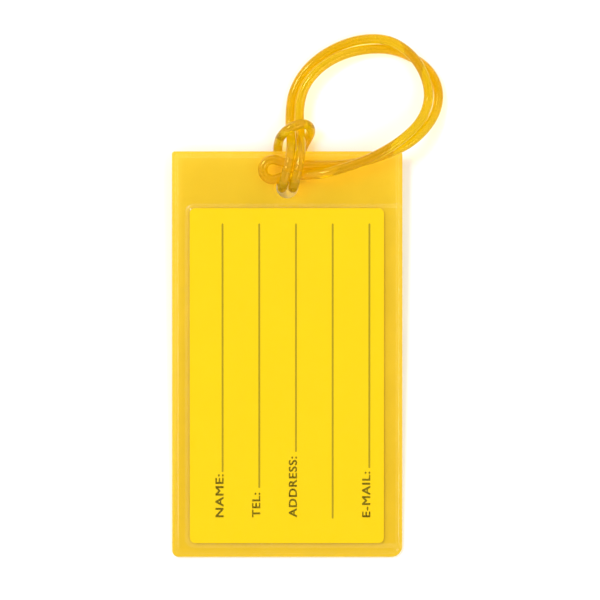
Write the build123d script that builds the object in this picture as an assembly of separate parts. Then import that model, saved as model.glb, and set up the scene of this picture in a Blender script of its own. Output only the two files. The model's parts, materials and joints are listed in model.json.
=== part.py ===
"""Luggage tag: two welded soft PVC sheets, a slide-in address card and a cord loop.

Millimetres. The tag lies on its back on a table. +X is the pocket's open side, +Y is the loop's end
and +Z is up. The origin is on the table under the middle of the welded sheets. Two runs of the cord
pass under the loop's end of the tag and hold it up, so the sheets and the card lean a little about
the tag's bottom edge.

The sheets and the card are drawn lying flat, with the bottom edge on y = 0 and the back face on
z = 0, and are then leaned and moved to their places.
"""

import math
import os

from build123d import *

# Welded sheets
tag_width = 62.4
tag_length = 110.0
back_thickness = 0.5
front_thickness = 0.5
top_corner_radius = 0.8
closed_corner_radius = 1.8
open_corner_radius = 3.0
least_corner_radius = 0.3

# Welds, from the tag's edge to the pocket, and the strip between the card and the open edge
header_weld = 15.1
side_weld = 4.5
bottom_weld = 3.5
mouth_margin = 5.0

# Pocket
pocket_wall = 0.5
pocket_corner_radius = 1.6
pad_edge_radius = 0.25

# Raised line along the weld, and the turned lip along the open edge
bead_inset = 0.8
bead_width = 1.0
bead_height = 0.15
lip_corner_radius = 0.4

# Hole in the header
hole_diameter = 6.0
hole_drop = 9.7

# Card
card_thickness = 0.4
card_corner_radius = 1.5
card_edge_clearance = 0.3
card_face_clearance = 0.1

# Cord loop and the pin that joins its ends
cord_diameter = 2.6
cord_clearance = 0.63
cord_end_gap = 0.2
pin_diameter = 1.1
pin_length = 3.2
bend_share = 0.45

# Route of the cord, each point as x and y from the hole's centre and z above the table.
# It starts and ends at the joint, on one straight line.
CORD_ROUTE = [
    # from the joint, the lower strand runs left and folds back in a small bight
    (1.7, 3.0, 6.12),
    (-1.3, 2.8, 6.12),
    (-4.2, 1.6, 6.12),
    (-6.6, 3.2, 6.12),
    (-6.6, 6.2, 6.12),
    (-4.1, 7.7, 6.12),
    (-1.2, 6.6, 6.12),
    # the upper strand crosses the header to the right and leaves over the top edge
    (2.7, 6.0, 6.12),
    (8.4, 5.8, 6.15),
    (14.3, 5.9, 6.15),
    (20.3, 6.7, 6.2),
    (26.8, 8.8, 6.3),
    (32.6, 11.3, 6.3),
    (37.2, 15.3, 4.6),
    # first turn of the ring: up the right side, over the top and down the left side
    (40.5, 20.3, 2.2),
    (41.3, 26.1, 1.3),
    (39.0, 31.4, 1.3),
    (34.3, 35.2, 1.3),
    (28.2, 37.5, 1.3),
    (21.6, 37.5, 1.6),
    (15.1, 36.0, 2.6),
    (9.3, 32.8, 3.3),
    (5.0, 28.0, 3.5),
    (3.2, 22.3, 3.3),
    # under the collar, up over the header's strands and down through the hole
    (3.4, 15.7, 3.1),
    (3.8, 11.9, 6.8),
    (3.6, 7.5, 8.9),
    (1.8, -0.3, 8.9),
    (1.3, -0.3, 1.3),
    # behind the header, past its top edge, and over both strands as the collar
    (2.9, 6.3, 1.3),
    (4.2, 10.9, 1.3),
    (5.6, 13.2, 1.3),
    (6.5, 15.1, 2.6),
    (6.0, 16.5, 4.9),
    (4.4, 17.2, 6.3),
    (2.1, 16.5, 7.0),
    (-0.1, 15.4, 6.9),
    (-1.8, 13.6, 5.4),
    (-2.4, 12.0, 1.9),
    # behind the header again, back through the hole and up the front
    (-2.6, 9.8, 1.3),
    (-2.1, 5.8, 1.3),
    (-1.4, -0.3, 1.3),
    (-1.3, -0.3, 8.9),
    (0.7, 7.5, 8.9),
    (1.2, 11.6, 6.8),
    (0.8, 15.7, 1.7),
    # second turn of the ring: up the left side, over the top and down the right side
    (0.8, 20.4, 1.3),
    (1.4, 25.4, 1.3),
    (3.9, 30.5, 1.3),
    (8.1, 34.9, 1.3),
    (13.8, 38.3, 1.3),
    (20.4, 40.3, 1.8),
    (27.1, 40.1, 3.1),
    (32.2, 37.3, 4.2),
    (36.0, 33.0, 4.2),
    (38.2, 27.7, 3.7),
    (38.3, 22.6, 3.7),
    (36.0, 17.4, 5.9),
    # over the first strand and back across the header to the joint
    (31.7, 13.2, 8.1),
    (26.7, 9.8, 9.0),
    (21.0, 7.0, 9.0),
    (15.1, 5.0, 8.8),
    (9.4, 3.4, 8.25),
    (4.7, 3.2, 6.12),
    (1.7, 3.0, 6.12),
]

# Derived sizes
weld_thickness = back_thickness + front_thickness
pocket_depth = card_thickness + 2 * card_face_clearance
pocket_left = side_weld - tag_width / 2
pocket_top = tag_length - header_weld
pad_top = back_thickness + pocket_depth + front_thickness

card_left = pocket_left + card_edge_clearance
card_right = tag_width / 2 - mouth_margin
card_bottom = bottom_weld + card_edge_clearance
card_top = pocket_top - card_edge_clearance

hole_from_bottom = tag_length - hole_drop
header_lift = cord_diameter + cord_clearance
lean = math.asin(header_lift / (hole_from_bottom - hole_diameter / 2))
bottom_edge_y = (weld_thickness * math.sin(lean) - tag_length * math.cos(lean)) / 2
hole_y = bottom_edge_y + hole_from_bottom * math.cos(lean)


def lie(shape):
    """Lean a flat piece about the tag's bottom edge and move it to its place on the table."""
    return Pos(0, bottom_edge_y, 0) * Rot(math.degrees(lean), 0, 0) * shape


def panel(left, right, bottom, top, radii, z, thickness):
    """A plate between four edges, standing on z. Its corner radii run anticlockwise from bottom left."""
    corners = ((left, bottom), (right, bottom), (right, top), (left, top))
    outline = FilletPolyline(*corners, radius=radii, close=True)
    return Pos(0, 0, z) * extrude(make_face(outline), thickness)


def tag_panel(inset, z, thickness):
    """A plate of the tag's own outline, drawn in from its edges by inset."""
    half = tag_width / 2 - inset
    corner_radii = (closed_corner_radius, open_corner_radius, top_corner_radius, top_corner_radius)
    radii = [max(radius - inset, least_corner_radius) for radius in corner_radii]
    return panel(-half, half, inset, tag_length - inset, radii, z, thickness)


def pocket_panel(grow, right, z, thickness):
    """A plate of the pocket's outline, grown outwards, that runs to the right edge given."""
    corner = pocket_corner_radius + grow
    radii = (corner, 0, 0, corner)
    left = pocket_left - grow
    return panel(left, right, bottom_weld - grow, pocket_top + grow, radii, z, thickness)


def hole():
    """A cutter through both sheets at the hole."""
    return Pos(0, hole_from_bottom, 0) * Cylinder(hole_diameter / 2, 4 * pad_top)


def bead():
    """The raised line that follows the weld round the tag, a little in from its edge."""
    height = front_thickness + bead_height
    outer = tag_panel(bead_inset, back_thickness, height)
    return outer - tag_panel(bead_inset + bead_width, back_thickness, height)


def mouth_lip():
    """The thicker line that stiffens the front sheet along the pocket's open edge."""
    right = tag_width / 2 - bead_inset
    bottom = bottom_weld - pocket_wall
    top = pocket_top + pocket_wall
    radii = (lip_corner_radius,) * 4
    thickness = front_thickness + bead_height
    return panel(right - bead_width, right, bottom, top, radii, pad_top - front_thickness, thickness)


def back_sheet():
    """The flat sheet behind the card."""
    return tag_panel(0, 0, back_thickness) - hole()


def on_open_edge(edge):
    """Whether an edge lies on the pocket's open side."""
    return abs(edge.center().X - tag_width / 2) < 1e-6


def pocket_pad():
    """The block raised over the pocket. Its top edges are rounded, except along the open side."""
    pad = pocket_panel(pocket_wall, tag_width / 2, back_thickness, pad_top - back_thickness)
    top_edges = pad.faces().sort_by(Axis.Z)[-1].edges()
    rounded_edges = [edge for edge in top_edges if not on_open_edge(edge)]
    return fillet(rounded_edges, pad_edge_radius) & tag_panel(0, back_thickness, pad_top)


def front_sheet():
    """The clear front sheet, raised over the pocket, which is open along its right edge."""
    plate = tag_panel(0, back_thickness, front_thickness)
    pocket = pocket_panel(0, tag_width, back_thickness, pocket_depth)
    return plate + bead() + pocket_pad() + mouth_lip() - pocket - hole()


def insert_card():
    """The address card, which slides out of the pocket's open side."""
    radii = (card_corner_radius,) * 4
    z = back_thickness + card_face_clearance
    return panel(card_left, card_right, card_bottom, card_top, radii, z, card_thickness)


def route_points():
    """The cord's route in place, with each end drawn back from the joint by half the gap."""
    points = [Vector(x, y + hole_y, z) for x, y, z in CORD_ROUTE]
    for end, neighbour in ((0, 1), (-1, -2)):
        inwards = (points[neighbour] - points[end]).normalized()
        points[end] += inwards * (cord_end_gap / 2)
    return points


def bend_radii(points):
    """The largest bend at each corner that its two runs leave room for."""
    radii = []
    for before, corner, after in zip(points, points[1:], points[2:]):
        arriving = corner - before
        leaving = after - corner
        half_turn = math.radians(arriving.get_angle(leaving)) / 2
        shorter_run = min(arriving.length, leaving.length)
        radii.append(bend_share * shorter_run / math.tan(half_turn))
    return radii


def cord_path():
    """Straight runs joined by tangent bends."""
    points = route_points()
    return FilletPolyline(*points, radius=bend_radii(points))


def end_cylinder(path, end, length):
    """A pin-sized cylinder that stands in the cord's end and runs into it by length."""
    inwards = path % 0 if end == 0 else -(path % 1)
    start = Plane(origin=path @ end, z_dir=inwards)
    return start * Pos(0, 0, length / 2) * Cylinder(pin_diameter / 2, length)


def loop_cord(path):
    """The cord, bored at both ends for the pin."""
    section = Plane(origin=path @ 0, z_dir=path % 0) * Circle(cord_diameter / 2)
    cord = sweep(section, path=path)
    bore_depth = (pin_length - cord_end_gap) / 2
    for end in (0, 1):
        cord -= end_cylinder(path, end, bore_depth)
    return cord


def loop_pin(path):
    """The pin pressed into both ends of the cord."""
    first = path @ 0
    last = path @ 1
    middle = Plane(origin=(first + last) / 2, z_dir=last - first)
    return middle * Cylinder(pin_diameter / 2, pin_length)


def report_cord(path, cord):
    """Print the cord's length, its bends and how its volume compares with a plain tube's."""
    points = route_points()
    for point, radius in zip(points[1:], bend_radii(points)):
        print(f"bend at {point.X:6.1f} {point.Y:6.1f} {point.Z:4.1f}: radius {radius:6.1f}")
    tube_volume = path.length * math.pi * (cord_diameter / 2) ** 2
    print(f"cord {path.length:.1f} mm long, volume {cord.volume:.1f}, tube {tube_volume:.1f}")


def main():
    path = cord_path()
    parts = {
        "back_sheet": lie(back_sheet()),
        "front_sheet": lie(front_sheet()),
        "insert_card": lie(insert_card()),
        "loop_cord": loop_cord(path),
        "loop_pin": loop_pin(path),
    }
    os.makedirs("parts", exist_ok=True)
    for name, part in parts.items():
        export_step(part, f"parts/{name}.step")
    report_cord(path, parts["loop_cord"])
    print(f"lean {math.degrees(lean):.3f} degrees, hole at y {hole_y:.3f}")


main()
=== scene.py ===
"""Luggage tag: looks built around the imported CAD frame. Metres, in the row frame."""

import json
import math

import bmesh
import bpy
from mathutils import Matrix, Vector, geometry


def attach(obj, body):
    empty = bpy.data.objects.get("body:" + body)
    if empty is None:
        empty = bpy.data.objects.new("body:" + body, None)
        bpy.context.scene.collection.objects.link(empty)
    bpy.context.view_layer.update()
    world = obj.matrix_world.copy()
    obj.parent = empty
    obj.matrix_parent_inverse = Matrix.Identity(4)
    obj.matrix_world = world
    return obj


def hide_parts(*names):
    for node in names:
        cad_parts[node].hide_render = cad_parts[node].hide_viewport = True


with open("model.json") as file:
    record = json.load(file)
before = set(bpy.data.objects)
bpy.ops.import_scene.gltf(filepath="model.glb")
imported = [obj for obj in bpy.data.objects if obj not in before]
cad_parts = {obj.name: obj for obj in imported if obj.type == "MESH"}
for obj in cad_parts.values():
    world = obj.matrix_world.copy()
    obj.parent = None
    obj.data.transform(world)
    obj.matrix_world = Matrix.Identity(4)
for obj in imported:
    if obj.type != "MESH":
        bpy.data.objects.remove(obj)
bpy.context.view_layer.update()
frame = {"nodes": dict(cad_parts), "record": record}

MM = 0.001

# The sheets as drawn flat in part.py, in millimetres
TAG_WIDTH = 62.4
TAG_LENGTH = 110.0
SHEET = 0.5
CORNER_RADII = (1.8, 3.0, 0.8, 0.8)
POCKET_LEFT = -26.7
POCKET_BOTTOM = 3.5
POCKET_TOP = 94.9
POCKET_RADIUS = 1.6
POCKET_DEPTH = 0.6
HOLE_Y = 100.3
HOLE_RADIUS = 3.0
CARD_TOP_FACE = 1.0
PROPPED_HEIGHT = 3.23
PROPPED_REACH = 97.3
LEAN = math.asin(PROPPED_HEIGHT / PROPPED_REACH)
BOTTOM_EDGE_Y = (2 * SHEET * math.sin(LEAN) - TAG_LENGTH * math.cos(LEAN)) / 2

JOINTS = frame["record"]["behaviour"]["joints"]
HINGE = next(joint for joint in JOINTS if joint["name"] == "loop_sway")
HOLE_CENTRE_Y = HINGE["pos_m"][1] / MM

CORD_DIAMETER = 2.6
JOINT_GAP = 0.2

# Control points of the cord, x and y from the hole's centre and z above the table, millimetres
CORD_ROUTE = [
    (1.7, 3.0, 6.12), (-1.3, 2.8, 6.12), (-4.2, 1.6, 6.12), (-6.6, 3.2, 6.12),
    (-6.6, 6.2, 6.12), (-4.1, 7.7, 6.12), (-1.2, 6.6, 6.12), (2.7, 6.0, 6.12),
    (8.4, 5.8, 6.15), (14.3, 5.9, 6.15), (20.3, 6.7, 6.2), (26.8, 8.8, 6.3),
    (32.6, 11.3, 6.3), (37.2, 15.3, 4.6), (40.5, 20.3, 2.2), (41.3, 26.1, 1.3),
    (39.0, 31.4, 1.3), (34.3, 35.2, 1.3), (28.2, 37.5, 1.3), (21.6, 37.5, 1.6),
    (15.1, 36.0, 2.6), (9.3, 32.8, 3.3), (5.0, 28.0, 3.5), (3.2, 22.3, 3.3),
    (3.4, 15.7, 3.1), (3.8, 11.9, 6.8), (3.6, 7.5, 8.9), (1.8, -0.3, 8.9),
    (1.3, -0.3, 1.3), (2.9, 6.3, 1.3), (4.2, 10.9, 1.3), (5.6, 13.2, 1.3),
    (6.5, 15.1, 2.6), (6.0, 16.5, 4.9), (4.4, 17.2, 6.3), (2.1, 16.5, 7.0),
    (-0.1, 15.4, 6.9), (-1.8, 13.6, 5.4), (-2.4, 12.0, 1.9), (-2.6, 9.8, 1.3),
    (-2.1, 5.8, 1.3), (-1.4, -0.3, 1.3), (-1.3, -0.3, 8.9), (0.7, 7.5, 8.9),
    (1.2, 11.6, 6.8), (0.8, 15.7, 1.7), (0.8, 20.4, 1.3), (1.4, 25.4, 1.3),
    (3.9, 30.5, 1.3), (8.1, 34.9, 1.3), (13.8, 38.3, 1.3), (20.4, 40.3, 1.8),
    (27.1, 40.1, 3.1), (32.2, 37.3, 4.2), (36.0, 33.0, 4.2), (38.2, 27.7, 3.7),
    (38.3, 22.6, 3.7), (36.0, 17.4, 5.9), (31.7, 13.2, 8.1), (26.7, 9.8, 9.0),
    (21.0, 7.0, 9.0), (15.1, 5.0, 8.8), (9.4, 3.4, 8.25), (4.7, 3.2, 6.12),
    (1.7, 3.0, 6.12),
]


def place(x, y, z):
    """A point of the flat drawing, in millimetres, in its leaned place in the row frame."""
    return Vector((
        x,
        BOTTOM_EDGE_Y + y * math.cos(LEAN) - z * math.sin(LEAN),
        y * math.sin(LEAN) + z * math.cos(LEAN),
    )) * MM


def flat_y(row_y, z):
    """The flat drawing's y, in millimetres, of a point at row_y and height z over the back face."""
    return (row_y - BOTTOM_EDGE_Y + z * math.sin(LEAN)) / math.cos(LEAN)


def smooth_step(value, low, high):
    """0 below low, 1 above high, and a smooth rise between them."""
    t = min(max((value - low) / (high - low), 0.0), 1.0)
    return t * t * (3 - 2 * t)


def new_object(name, data):
    """A linked object that holds the data."""
    made = bpy.data.objects.new(name, data)
    bpy.context.scene.collection.objects.link(made)
    return made


# ---------------------------------------------------------------- camera

CAMERA_AIM = (3.47, 14.72, 0.0)
CAMERA_DISTANCE = 1.6
SEEN_WIDTH = 162.8


def make_camera():
    """A long lens straight above the tag."""
    data = bpy.data.cameras.new("camera")
    data.sensor_width = 36.0
    data.lens = data.sensor_width * CAMERA_DISTANCE / (SEEN_WIDTH * MM)
    data.clip_start = 0.1
    data.clip_end = 10.0
    camera = new_object("camera", data)
    camera.location = Vector(CAMERA_AIM) * MM + Vector((0, 0, CAMERA_DISTANCE))
    bpy.context.scene.camera = camera


# ---------------------------------------------------------------- materials

# Noise runs to about these values, and remap stretches between them
NOISE_LOW = 0.3
NOISE_HIGH = 0.7

# Each sheet: clear tint, least and most haze, and the haze's two colours
FRONT_SHEET_LOOK = (
    (0.995, 0.99, 0.87), (0.01, 0.03), (0.92, 0.64, 0.02), (0.96, 0.68, 0.03),
)
BACK_SHEET_LOOK = (
    (0.985, 0.92, 0.45), (0.45, 0.55), (0.90, 0.63, 0.040), (0.94, 0.66, 0.050),
)
SHEET_IOR = 1.45
CORD_COLOURS = ((0.66, 0.44, 0.001), (0.72, 0.50, 0.002))
CORD_SHADE = (0.92, 0.80, 0.50, 1)
PAPER_COLOURS = ((0.82, 0.565, 0.001), (0.85, 0.60, 0.002))
INK_COLOURS = ((0.32, 0.24, 0.002), (0.42, 0.31, 0.004))
PIN_COLOURS = ((0.80, 0.76, 0.62), (0.86, 0.83, 0.70))


def new_material(name):
    """An empty node material with its output."""
    material = bpy.data.materials.new(name)
    material.use_nodes = True
    tree = material.node_tree
    tree.nodes.clear()
    output = tree.nodes.new("ShaderNodeOutputMaterial")
    return material, tree, output


def noise(tree, scale_per_mm, detail, roughness=0.5, stretch=(1, 1, 1)):
    """Noise in object space whose scale is given per millimetre."""
    coordinates = tree.nodes.new("ShaderNodeTexCoord")
    mapping = tree.nodes.new("ShaderNodeMapping")
    mapping.inputs["Scale"].default_value = stretch
    texture = tree.nodes.new("ShaderNodeTexNoise")
    texture.inputs["Scale"].default_value = scale_per_mm / MM
    texture.inputs["Detail"].default_value = detail
    texture.inputs["Roughness"].default_value = roughness
    tree.links.new(coordinates.outputs["Object"], mapping.inputs["Vector"])
    tree.links.new(mapping.outputs["Vector"], texture.inputs["Vector"])
    return texture.outputs["Fac"]


def remap(tree, value, low, high):
    """Noise, spread from low to high."""
    node = tree.nodes.new("ShaderNodeMapRange")
    node.inputs["From Min"].default_value = NOISE_LOW
    node.inputs["From Max"].default_value = NOISE_HIGH
    node.inputs["To Min"].default_value = low
    node.inputs["To Max"].default_value = high
    tree.links.new(value, node.inputs["Value"])
    return node.outputs["Result"]


def blend_colours(tree, value, first, second):
    """A colour between first and second by value."""
    node = tree.nodes.new("ShaderNodeMix")
    node.data_type = "RGBA"
    node.inputs["A"].default_value = (*first, 1)
    node.inputs["B"].default_value = (*second, 1)
    tree.links.new(value, node.inputs["Factor"])
    return node.outputs["Result"]


def bump(tree, heights):
    """A chain of bumps, each a (value, distance in millimetres) pair."""
    normal = None
    for value, distance in heights:
        node = tree.nodes.new("ShaderNodeBump")
        node.inputs["Strength"].default_value = 1.0
        node.inputs["Distance"].default_value = distance * MM
        tree.links.new(value, node.inputs["Height"])
        if normal is not None:
            tree.links.new(normal, node.inputs["Normal"])
        normal = node.outputs["Normal"]
    return normal


def pvc_sheet(name, tint, haze, body_first, body_second):
    """Glossy, tinted, see-through soft PVC sheet with some haze in it.

    haze is its least and most. Only the side a ray enters by is glossy, so light isn't trapped
    inside the sheet, which doesn't bend it.
    """
    material, tree, output = new_material(name)
    clear = tree.nodes.new("ShaderNodeBsdfTransparent")
    clear.inputs["Color"].default_value = (*tint, 1)
    cloud = noise(tree, 0.06, 3.0)
    grain = noise(tree, 2.2, 4.0)
    wave = noise(tree, 0.09, 1.0)
    normal = bump(tree, [(wave, 0.10), (grain, 0.004)])
    body = tree.nodes.new("ShaderNodeBsdfPrincipled")
    body.inputs["Specular IOR Level"].default_value = 0.2
    tree.links.new(blend_colours(tree, cloud, body_first, body_second), body.inputs["Base Color"])
    tree.links.new(remap(tree, grain, 0.28, 0.40), body.inputs["Roughness"])
    tree.links.new(normal, body.inputs["Normal"])
    hazy = tree.nodes.new("ShaderNodeMixShader")
    tree.links.new(remap(tree, cloud, *haze), hazy.inputs["Fac"])
    tree.links.new(clear.outputs["BSDF"], hazy.inputs[1])
    tree.links.new(body.outputs["BSDF"], hazy.inputs[2])
    fresnel = tree.nodes.new("ShaderNodeFresnel")
    fresnel.inputs["IOR"].default_value = SHEET_IOR
    tree.links.new(normal, fresnel.inputs["Normal"])
    gloss = tree.nodes.new("ShaderNodeBsdfGlossy")
    tree.links.new(remap(tree, grain, 0.10, 0.18), gloss.inputs["Roughness"])
    tree.links.new(normal, gloss.inputs["Normal"])
    side = tree.nodes.new("ShaderNodeNewGeometry")
    outer = tree.nodes.new("ShaderNodeMath")
    outer.operation = "MULTIPLY_ADD"
    outer.inputs[1].default_value = -1.0
    outer.inputs[2].default_value = 1.0
    tree.links.new(side.outputs["Backfacing"], outer.inputs[0])
    share = tree.nodes.new("ShaderNodeMath")
    share.operation = "MULTIPLY"
    tree.links.new(fresnel.outputs["Fac"], share.inputs[0])
    tree.links.new(outer.outputs["Value"], share.inputs[1])
    shiny = tree.nodes.new("ShaderNodeMixShader")
    tree.links.new(share.outputs["Value"], shiny.inputs["Fac"])
    tree.links.new(hazy.outputs["Shader"], shiny.inputs[1])
    tree.links.new(gloss.outputs["BSDF"], shiny.inputs[2])
    tree.links.new(shiny.outputs["Shader"], output.inputs["Surface"])
    return material


def pvc_cord():
    """Glossy, see-through golden soft PVC cord. Lamps shine through it."""
    material, tree, output = new_material("cord_pvc")
    cloud = noise(tree, 0.25, 3.0)
    grain = noise(tree, 3.0, 4.0)
    wave = noise(tree, 0.45, 1.0)
    normal = bump(tree, [(wave, 0.05), (grain, 0.003)])
    body = tree.nodes.new("ShaderNodeBsdfPrincipled")
    body.inputs["IOR"].default_value = 1.45
    body.inputs["Transmission Weight"].default_value = 0.72
    body.inputs["Specular IOR Level"].default_value = 0.45
    body.inputs["Specular Tint"].default_value = (1.0, 0.88, 0.45, 1)
    tree.links.new(blend_colours(tree, cloud, *CORD_COLOURS), body.inputs["Base Color"])
    tree.links.new(remap(tree, grain, 0.04, 0.09), body.inputs["Roughness"])
    tree.links.new(normal, body.inputs["Normal"])
    shade = tree.nodes.new("ShaderNodeBsdfTransparent")
    shade.inputs["Color"].default_value = CORD_SHADE
    path = tree.nodes.new("ShaderNodeLightPath")
    mixed = tree.nodes.new("ShaderNodeMixShader")
    tree.links.new(path.outputs["Is Shadow Ray"], mixed.inputs["Fac"])
    tree.links.new(body.outputs["BSDF"], mixed.inputs[1])
    tree.links.new(shade.outputs["BSDF"], mixed.inputs[2])
    tree.links.new(mixed.outputs["Shader"], output.inputs["Surface"])
    return material


def paper():
    """Uncoated card with fibres in it."""
    material, tree, output = new_material("card_paper")
    fibre = noise(tree, 1.1, 6.0, 0.65, (1, 0.35, 1))
    mottle = noise(tree, 0.12, 3.0)
    normal = bump(tree, [(fibre, 0.02)])
    body = tree.nodes.new("ShaderNodeBsdfPrincipled")
    body.inputs["Specular IOR Level"].default_value = 0.25
    tree.links.new(blend_colours(tree, mottle, *PAPER_COLOURS), body.inputs["Base Color"])
    tree.links.new(remap(tree, fibre, 0.70, 0.90), body.inputs["Roughness"])
    tree.links.new(normal, body.inputs["Normal"])
    tree.links.new(body.outputs["BSDF"], output.inputs["Surface"])
    return material


def ink():
    """Printing ink, a little uneven where it sank into the card."""
    material, tree, output = new_material("ink")
    patch = noise(tree, 1.6, 4.0)
    body = tree.nodes.new("ShaderNodeBsdfPrincipled")
    body.inputs["Specular IOR Level"].default_value = 0.3
    tree.links.new(blend_colours(tree, patch, *INK_COLOURS), body.inputs["Base Color"])
    tree.links.new(remap(tree, patch, 0.50, 0.75), body.inputs["Roughness"])
    tree.links.new(body.outputs["BSDF"], output.inputs["Surface"])
    return material


def moulded_pin():
    """Moulded nylon of the hidden pin."""
    material, tree, output = new_material("pin_nylon")
    grain = noise(tree, 2.0, 3.0)
    body = tree.nodes.new("ShaderNodeBsdfPrincipled")
    tree.links.new(blend_colours(tree, grain, *PIN_COLOURS), body.inputs["Base Color"])
    tree.links.new(remap(tree, grain, 0.40, 0.55), body.inputs["Roughness"])
    tree.links.new(body.outputs["BSDF"], output.inputs["Surface"])
    return material


# ---------------------------------------------------------------- sheets

EDGE_ROUND = 0.12
BEAD_MIDDLE = 1.3
BEAD_HALF = 0.6
BEAD_HEIGHT = 0.15
WELD_GAP_ABOVE = 0.004
WELD_GAP_BELOW = 0.012
LEAST_RADIUS = 0.3

# Where the raised front sheet's outer and inner faces begin and end their rise, inside the pocket
OUTER_RISE = (-1.2, 0.5)
INNER_RISE = (-0.9, 0.35)

# Loops of mesh points, by distance from the outline, the hole and the pocket's sides
FRONT_INSETS = (0.04, EDGE_ROUND, 0.7, 0.85, 1.0, 1.15, 1.3, 1.45, 1.6, 1.75, 1.9)
BACK_INSETS = (0.04, EDGE_ROUND, 0.8)
HOLE_GROWS = (0.04, EDGE_ROUND, 0.4)
POCKET_GROWS = (1.2, 0.95, 0.7, 0.45, 0.25, 0.1, -0.05, -0.2, -0.35, -0.5)
FRONT_GRID = 2.0
BACK_GRID = 3.0

# The grid's points keep this far from those loops
CLEAR_OF_EDGE = 2.3
CLEAR_OF_RISE = 1.4
CLEAR_OF_HOLE = 0.8


def rounded_loop(left, right, bottom, top, radii, spacing=1.0):
    """Points round a rounded rectangle, anticlockwise from bottom left, at about the spacing."""
    corners = ((left, bottom, 180), (right, bottom, 270), (right, top, 0), (left, top, 90))
    inward = ((1, 1), (-1, 1), (-1, -1), (1, -1))
    arcs = []
    for (x, y, start), (side_x, side_y), radius in zip(corners, inward, radii):
        centre = (x + side_x * radius, y + side_y * radius)
        steps = max(3, math.ceil(radius * math.pi / 2 / (0.35 * spacing)))
        arc = []
        for step in range(steps + 1):
            angle = math.radians(start + 90 * step / steps)
            arc.append((centre[0] + radius * math.cos(angle), centre[1] + radius * math.sin(angle)))
        arcs.append(arc)
    loop = []
    for arc, following in zip(arcs, arcs[1:] + arcs[:1]):
        loop += arc
        (x0, y0), (x1, y1) = arc[-1], following[0]
        steps = max(1, round(math.hypot(x1 - x0, y1 - y0) / spacing))
        loop += [(x0 + (x1 - x0) * k / steps, y0 + (y1 - y0) * k / steps) for k in range(1, steps)]
    return loop


def inset_loop(inset, spacing=1.0):
    """The tag's outline, drawn in by inset."""
    half = TAG_WIDTH / 2 - inset
    radii = [max(radius - inset, LEAST_RADIUS) for radius in CORNER_RADII]
    return rounded_loop(-half, half, inset, TAG_LENGTH - inset, radii, spacing)


def hole_loop(radius, count=40):
    """Points round the hole."""
    turns = [2 * math.pi * k / count for k in range(count)]
    return [(radius * math.cos(turn), HOLE_Y + radius * math.sin(turn)) for turn in turns]


def pocket_loop(grow, spacing=1.0):
    """The pocket's three welded sides, moved outwards by grow, as a line open at the right edge."""
    right = TAG_WIDTH / 2 + 10
    radius = max(POCKET_RADIUS + grow, LEAST_RADIUS)
    loop = rounded_loop(POCKET_LEFT - grow, right, POCKET_BOTTOM - grow, POCKET_TOP + grow,
                        (radius, LEAST_RADIUS, LEAST_RADIUS, radius), spacing)
    return [point for point in loop if point[0] < TAG_WIDTH / 2 - 0.05]


def pocket_distance(x, y):
    """How far a point is inside the pocket's welded sides. It is negative outside them."""
    centre_x = max(POCKET_LEFT + POCKET_RADIUS, x)
    low = POCKET_BOTTOM + POCKET_RADIUS
    high = POCKET_TOP - POCKET_RADIUS
    centre_y = min(max(y, low), high)
    if x < POCKET_LEFT + POCKET_RADIUS or not low <= y <= high:
        return POCKET_RADIUS - math.hypot(x - centre_x, y - centre_y)
    return min(x - POCKET_LEFT, y - POCKET_BOTTOM, POCKET_TOP - y)


def edge_distance(x, y):
    """How far a point is inside the tag's outline."""
    half = TAG_WIDTH / 2
    radius = CORNER_RADII[(0 if x < 0 else 1) if y < TAG_LENGTH / 2 else 2]
    near_x = half - abs(x)
    near_y = min(y, TAG_LENGTH - y)
    if near_x < radius and near_y < radius:
        return radius - math.hypot(radius - near_x, radius - near_y)
    return min(near_x, near_y)


def ridge(distance, middle, half_width, height):
    """A rounded raised line along the sheet."""
    t = (distance - middle) / half_width
    return height * math.cos(t * math.pi / 2) ** 2 if abs(t) < 1 else 0.0


def sheet_points(loops, grid_step):
    """The loops' points with a plain grid between them, and the loops' edges."""
    points = []
    edges = []
    for loop, closed in loops:
        first = len(points)
        points += loop
        edges += [(first + k, first + k + 1) for k in range(len(loop) - 1)]
        if closed:
            edges.append((len(points) - 1, first))
    columns = int(TAG_WIDTH / grid_step)
    rows = int(TAG_LENGTH / grid_step)
    for column in range(1, columns):
        for row in range(1, rows):
            x = -TAG_WIDTH / 2 + column * TAG_WIDTH / columns
            y = row * TAG_LENGTH / rows
            if away_from_lines(x, y):
                points.append((x, y))
    return points, edges


def sheet_mesh(name, loops, grid_step, top_height, bottom_height):
    """A closed sheet with the hole in it, between two height functions."""
    points, edges = sheet_points(loops, grid_step)
    flat = [Vector(point) for point in points]
    verts, _, faces, *_ = geometry.delaunay_2d_cdt(flat, edges, [], 0, 1e-5)
    triangles = []
    for face in faces:
        middle = sum((verts[k] for k in face), Vector((0, 0))) / len(face)
        inside_outline = edge_distance(middle.x, middle.y) > 1e-4
        in_hole = math.hypot(middle.x, middle.y - HOLE_Y) < HOLE_RADIUS * 0.999
        if inside_outline and not in_hole:
            triangles.append(tuple(face))
    count = len(verts)
    coordinates = [place(v.x, v.y, top_height(v.x, v.y)) for v in verts]
    coordinates += [place(v.x, v.y, bottom_height(v.x, v.y)) for v in verts]
    all_faces = list(triangles) + [tuple(count + k for k in reversed(face)) for face in triangles]
    used = {}
    for face in triangles:
        for a, b in zip(face, face[1:] + face[:1]):
            used[(a, b)] = True
    for a, b in used:
        if (b, a) not in used:
            all_faces.append((b, a, count + a, count + b))
    mesh = bpy.data.meshes.new(name)
    mesh.from_pydata(coordinates, [], all_faces)
    mesh.validate()
    mesh.update()
    return mesh


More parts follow.
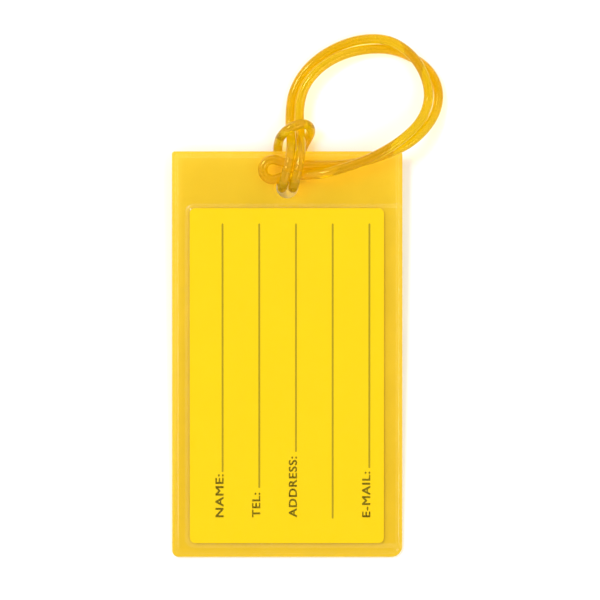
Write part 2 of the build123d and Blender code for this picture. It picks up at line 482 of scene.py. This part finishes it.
def drop_loose(mesh):
    """Remove the points that no face uses."""
    work = bmesh.new()
    work.from_mesh(mesh)
    bmesh.ops.delete(work, geom=[v for v in work.verts if not v.link_faces], context="VERTS")
    bmesh.ops.recalc_face_normals(work, faces=work.faces)
    work.to_mesh(mesh)
    work.free()


def shade_smooth(mesh, angle=40):
    """Smooth shading that keeps edges sharper than the angle."""
    mesh.polygons.foreach_set("use_smooth", [True] * len(mesh.polygons))
    mesh.set_sharp_from_angle(angle=math.radians(angle))


def rounded_drop(distance):
    """How far a sheet's face falls away as it nears the outline, to round its edge."""
    reach = min(max(distance / EDGE_ROUND, 0.0), 1.0)
    return EDGE_ROUND * (1 - math.sqrt(1 - (1 - reach) ** 2))


def hole_distance(x, y):
    """How far a point is outside the hole."""
    return math.hypot(x, y - HOLE_Y) - HOLE_RADIUS


def front_top(x, y):
    """The front sheet's outer face."""
    raised = 2 * SHEET + POCKET_DEPTH * smooth_step(pocket_distance(x, y), *OUTER_RISE)
    bead = ridge(edge_distance(x, y), BEAD_MIDDLE, BEAD_HALF, BEAD_HEIGHT)
    fall = rounded_drop(min(edge_distance(x, y), hole_distance(x, y)))
    return raised + bead - fall


def front_bottom(x, y):
    """The front sheet's inner face, a hair off the back sheet where they are welded."""
    rise = smooth_step(pocket_distance(x, y), *INNER_RISE)
    return SHEET + WELD_GAP_ABOVE + (POCKET_DEPTH - WELD_GAP_ABOVE) * rise


def back_top(x, y):
    """The back sheet's inner face, a hair under the front sheet."""
    return SHEET - WELD_GAP_BELOW


def back_bottom(x, y):
    """The back sheet's outer face, rounded at its edges."""
    return rounded_drop(min(edge_distance(x, y), hole_distance(x, y)))


def away_from_lines(x, y):
    """Whether a grid point keeps clear of the outline, bead, pocket's sides and hole."""
    return (
        edge_distance(x, y) > CLEAR_OF_EDGE
        and abs(pocket_distance(x, y) - sum(OUTER_RISE) / 2) > CLEAR_OF_RISE
        and hole_distance(x, y) > CLEAR_OF_HOLE
    )


def make_front_sheet(material):
    """The clear front sheet."""
    loops = [(inset_loop(0.0), True), (hole_loop(HOLE_RADIUS), True)]
    loops += [(inset_loop(inset), True) for inset in FRONT_INSETS]
    loops += [(hole_loop(HOLE_RADIUS + grow), True) for grow in HOLE_GROWS]
    loops += [(pocket_loop(grow), False) for grow in POCKET_GROWS]
    mesh = sheet_mesh("front_sheet_look", loops, FRONT_GRID, front_top, front_bottom)
    drop_loose(mesh)
    shade_smooth(mesh)
    mesh.materials.append(material)
    made = new_object("front_sheet_look", mesh)
    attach(made, "sleeve")
    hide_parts("front_sheet")


def make_back_sheet(material):
    """The back sheet."""
    loops = [(inset_loop(0.0), True), (hole_loop(HOLE_RADIUS), True)]
    loops += [(inset_loop(inset), True) for inset in BACK_INSETS]
    loops += [(hole_loop(HOLE_RADIUS + grow), True) for grow in HOLE_GROWS]
    mesh = sheet_mesh("back_sheet_look", loops, BACK_GRID, back_top, back_bottom)
    drop_loose(mesh)
    shade_smooth(mesh)
    mesh.materials.append(material)
    made = new_object("back_sheet_look", mesh)
    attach(made, "sleeve")
    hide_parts("back_sheet")


# ---------------------------------------------------------------- card

LINE_FIRST_X = -17.50
LINE_PITCH = 9.94
LINE_TOP_Y = 35.2
LINE_BOTTOMS_Y = (-31.7, -36.0, -26.2, -44.3, -30.6)
LINE_WIDTH = 0.52
# Each label's text, its line's number and its length
LABELS = (("NAME:", 0, 11.5), ("TEL:", 1, 6.5), ("ADDRESS:", 2, 16.3), ("E-MAIL:", 4, 12.2))
LABEL_START_Y = -44.2
LABEL_HEIGHT = 2.12
# Copies of each label, moved across and along, that thicken its strokes
BOLD_SHIFTS = ((0.0, 0.0), (0.0, 0.11), (0.0, 0.22), (-0.11, 0.0), (-0.11, 0.11), (-0.11, 0.22))
INK_BASE = 0.004
INK_THICKNESS = 0.02


def ink_mesh(name, flat_verts, faces):
    """A thin layer of ink on the card from flat faces in the drawing's millimetres."""
    base = CARD_TOP_FACE + INK_BASE
    count = len(flat_verts)
    coordinates = [place(x, flat_y(y, base), base + INK_THICKNESS) for x, y in flat_verts]
    coordinates += [place(x, flat_y(y, base), base) for x, y in flat_verts]
    all_faces = [tuple(face) for face in faces]
    all_faces += [tuple(count + k for k in reversed(face)) for face in faces]
    used = {(a, b) for face in faces for a, b in zip(face, face[1:] + face[:1])}
    all_faces += [(b, a, count + a, count + b) for a, b in sorted(used) if (b, a) not in used]
    mesh = bpy.data.meshes.new(name)
    mesh.from_pydata(coordinates, [], all_faces)
    mesh.validate()
    mesh.update()
    return mesh


def line_strip(x, bottom, top):
    """The points round one ruled line with rounded ends."""
    half = LINE_WIDTH / 2
    points = []
    for centre_y, start in ((top, 0), (bottom, 180)):
        for step in range(7):
            angle = math.radians(start + 30 * step)
            points.append((x + half * math.cos(angle), centre_y + half * math.sin(angle)))
    return points


def make_lines(material):
    """The ruled lines."""
    verts = []
    faces = []
    for number, bottom in enumerate(LINE_BOTTOMS_Y):
        strip = line_strip(LINE_FIRST_X + number * LINE_PITCH, bottom, LINE_TOP_Y)
        faces.append(list(range(len(verts), len(verts) + len(strip))))
        verts += strip
    mesh = ink_mesh("ink_lines", verts, faces)
    mesh.materials.append(material)
    made = new_object("ink_lines", mesh)
    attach(made, "card")


def letters(text):
    """The text's flat mesh in Blender's own plain typeface, as points and faces."""
    curve = bpy.data.curves.new("letters", "FONT")
    curve.body = text
    curve.size = 1.0
    curve.resolution_u = 4
    curve.space_character = 1.12
    holder = new_object("letters", curve)
    mesh = bpy.data.meshes.new_from_object(holder)
    bpy.data.objects.remove(holder)
    bpy.data.curves.remove(curve)
    points = [(v.co.x, v.co.y) for v in mesh.vertices]
    faces = [list(polygon.vertices) for polygon in mesh.polygons]
    bpy.data.meshes.remove(mesh)
    return points, faces


def make_labels(material):
    """Generic form labels that read upwards, each at the foot of its line."""
    verts = []
    faces = []
    for text, number, length in LABELS:
        points, text_faces = letters(text)
        left = min(x for x, _ in points)
        right = max(x for x, _ in points)
        high = max(y for _, y in points)
        along = length / (right - left)
        up = LABEL_HEIGHT / high
        base_x = LINE_FIRST_X + number * LINE_PITCH + LINE_WIDTH / 2
        for across, forward in BOLD_SHIFTS:
            first = len(verts)
            verts += [
                (base_x + across - y * up, LABEL_START_Y + forward + (x - left) * along)
                for x, y in points
            ]
            faces += [[first + k for k in face] for face in text_faces]
    mesh = ink_mesh("ink_labels", verts, faces)
    mesh.materials.append(material)
    made = new_object("ink_labels", mesh)
    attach(made, "card")


# ---------------------------------------------------------------- cord

def make_cord(material):
    """The cord as one smooth curve from its joint round to its joint."""
    points = [Vector((x, y + HOLE_CENTRE_Y, z)) * MM for x, y, z in CORD_ROUTE]
    for end, neighbour in ((0, 1), (-1, -2)):
        inwards = (points[neighbour] - points[end]).normalized()
        points[end] = points[end] + inwards * (JOINT_GAP / 2 * MM)
    curve = bpy.data.curves.new("cord", "CURVE")
    curve.dimensions = "3D"
    spline = curve.splines.new("NURBS")
    spline.points.add(len(points) - 1)
    for spot, point in zip(spline.points, points):
        spot.co = (*point, 1)
    spline.order_u = 3
    spline.use_endpoint_u = True
    curve.resolution_u = 10
    curve.bevel_depth = CORD_DIAMETER / 2 * MM
    curve.bevel_resolution = 6
    curve.use_fill_caps = True
    curve.materials.append(material)
    made = new_object("cord", curve)
    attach(made, "loop")
    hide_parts("loop_cord")


# ---------------------------------------------------------------- stage

FLOOR_HALF = 3.0
FLOOR_DROP = 0.0002
WORLD_STRENGTH = 1.30

# How bright the surroundings are, by height from the horizon, 0, to straight up, 1
SKY_BANDS = ((0.0, 0.10), (0.25, 0.15), (0.50, 1.0), (0.80, 1.0), (0.97, 0.12))


def area_light(name, location, size, power):
    """A square soft light aimed at the origin."""
    data = bpy.data.lights.new(name, "AREA")
    data.size = size
    data.energy = power
    light = new_object(name, data)
    light.location = location
    light.rotation_euler = (-Vector(location)).to_track_quat("-Z", "Y").to_euler()


def make_stage():
    """White floor, white surroundings and soft lights."""
    material, tree, output = new_material("floor")
    body = tree.nodes.new("ShaderNodeBsdfPrincipled")
    body.inputs["Base Color"].default_value = (0.93, 0.93, 0.93, 1)
    body.inputs["Roughness"].default_value = 0.9
    body.inputs["Specular IOR Level"].default_value = 0.0
    tree.links.new(body.outputs["BSDF"], output.inputs["Surface"])
    half = FLOOR_HALF
    corners = [(-half, -half, 0), (half, -half, 0), (half, half, 0), (-half, half, 0)]
    mesh = bpy.data.meshes.new("floor")
    mesh.from_pydata(corners, [], [(0, 1, 2, 3)])
    mesh.materials.append(material)
    floor = new_object("floor", mesh)
    floor.location.z = -FLOOR_DROP

    world = bpy.data.worlds.new("world")
    bpy.context.scene.world = world
    world.use_nodes = True
    tree = world.node_tree
    background = tree.nodes["Background"]
    direction = tree.nodes.new("ShaderNodeTexCoord")
    parts = tree.nodes.new("ShaderNodeSeparateXYZ")
    sky = tree.nodes.new("ShaderNodeValToRGB")
    sky.color_ramp.interpolation = "EASE"
    stops = sky.color_ramp.elements
    for number, (height, level) in enumerate(SKY_BANDS):
        stop = stops[number] if number < 2 else stops.new(height)
        stop.position = height
        stop.color = (level, level, level, 1)
    background.inputs["Strength"].default_value = WORLD_STRENGTH
    tree.links.new(direction.outputs["Generated"], parts.inputs["Vector"])
    tree.links.new(parts.outputs["Z"], sky.inputs["Fac"])
    tree.links.new(sky.outputs["Color"], background.inputs["Color"])
    area_light("key", (-0.90, 0.75, 1.50), 0.50, 16.0)
    area_light("fill", (1.10, -0.60, 1.60), 0.9, 8.0)


def set_colours():
    """A plain display transform, and room for rays through several clear layers."""
    scene = bpy.context.scene
    scene.view_settings.view_transform = "Standard"
    scene.cycles.transparent_max_bounces = 32
    scene.cycles.max_bounces = 16
    scene.cycles.transmission_bounces = 12


make_camera()
make_cord(pvc_cord())
front_pvc = pvc_sheet("front_pvc", *FRONT_SHEET_LOOK)
back_pvc = pvc_sheet("back_pvc", *BACK_SHEET_LOOK)
make_front_sheet(front_pvc)
make_back_sheet(back_pvc)
ink_material = ink()
make_lines(ink_material)
make_labels(ink_material)
for node, material in (("insert_card", paper()), ("loop_pin", moulded_pin())):
    slots = frame["nodes"][node].data.materials
    slots.clear()
    slots.append(material)
make_stage()
set_colours()
